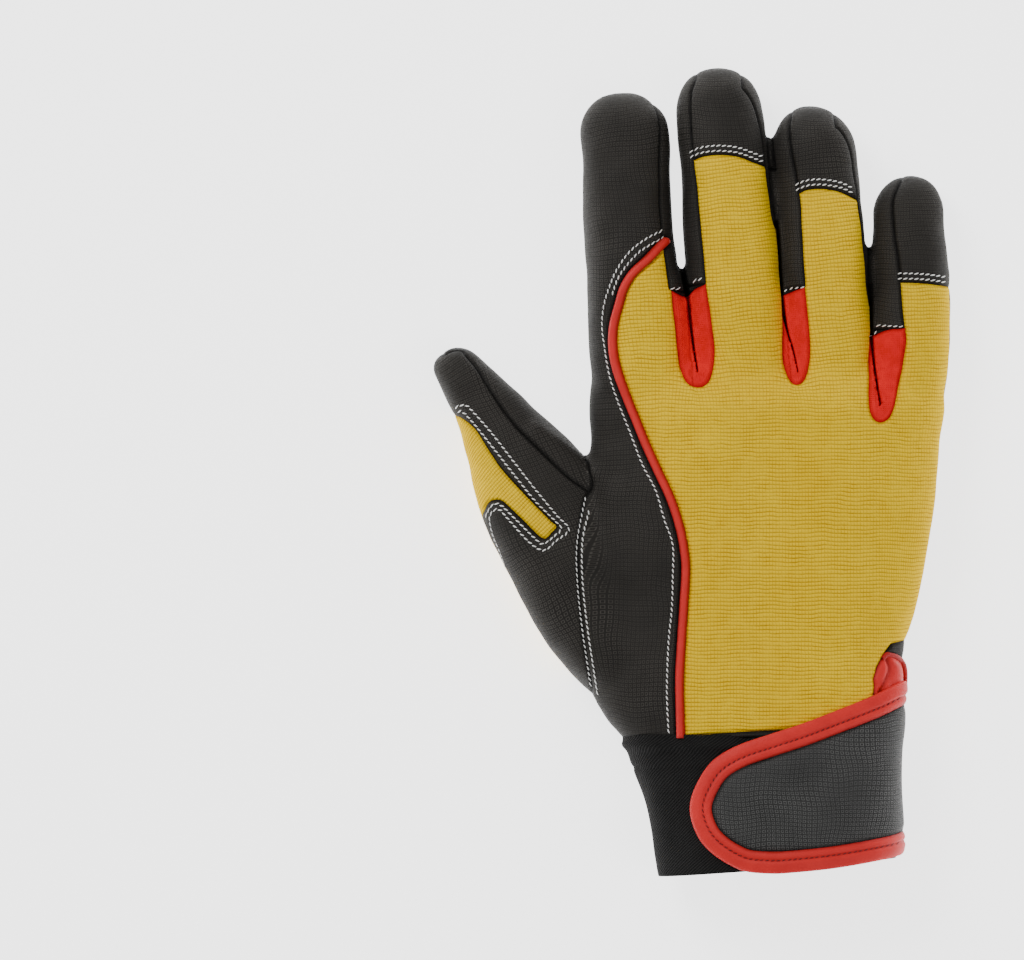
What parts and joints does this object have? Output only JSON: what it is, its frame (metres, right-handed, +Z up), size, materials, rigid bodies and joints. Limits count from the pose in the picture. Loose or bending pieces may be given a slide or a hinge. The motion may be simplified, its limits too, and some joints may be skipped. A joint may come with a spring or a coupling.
{
  "type": "mechanic glove",
  "caption": "Right-hand work glove in black leather with a yellow knit back, red gussets between the fingers, a knit cuff and a fastened wrist strap.",
  "frame": {"origin": "on the resting plane under the middle of the palm, where the palm leather lies flat", "axes": "+Y along the hand to the fingertips, +X to the little-finger side, +Z up through the back of the hand"},
  "size_m": [0.1592, 0.25, 0.0419],
  "materials": {
    "black_leather": "embossed matt synthetic leather",
    "yellow_knit": "ribbed stretch knit",
    "red_leather": "smooth matt binding leather",
    "red_cloth": "stretch cloth",
    "black_knit": "fine diagonal knit"
  },
  "bodies": {
    "root": {"palm_leather": "black_leather", "index_leather": "black_leather", "middle_leather": "black_leather", "ring_leather": "black_leather", "little_leather": "black_leather", "back_panel": "yellow_knit", "middle_cap": "black_leather", "ring_cap": "black_leather", "little_cap": "black_leather", "index_side_strip": "black_leather", "middle_left_strip": "black_leather", "middle_right_strip": "black_leather", "ring_left_strip": "black_leather", "ring_right_strip": "black_leather", "little_left_strip": "black_leather", "index_middle_gusset": "red_cloth", "middle_ring_gusset": "red_cloth", "ring_little_gusset": "red_cloth", "back_piping": "red_leather", "thumb_outer_panel": "black_leather", "thumb_inner_panel": "black_leather", "thumb_insert": "yellow_knit", "thumb_saddle": "black_leather", "cuff": "black_knit", "strap": "black_leather", "strap_binding": "red_leather", "vent_binding": "red_leather"}
  },
  "joints": []
}
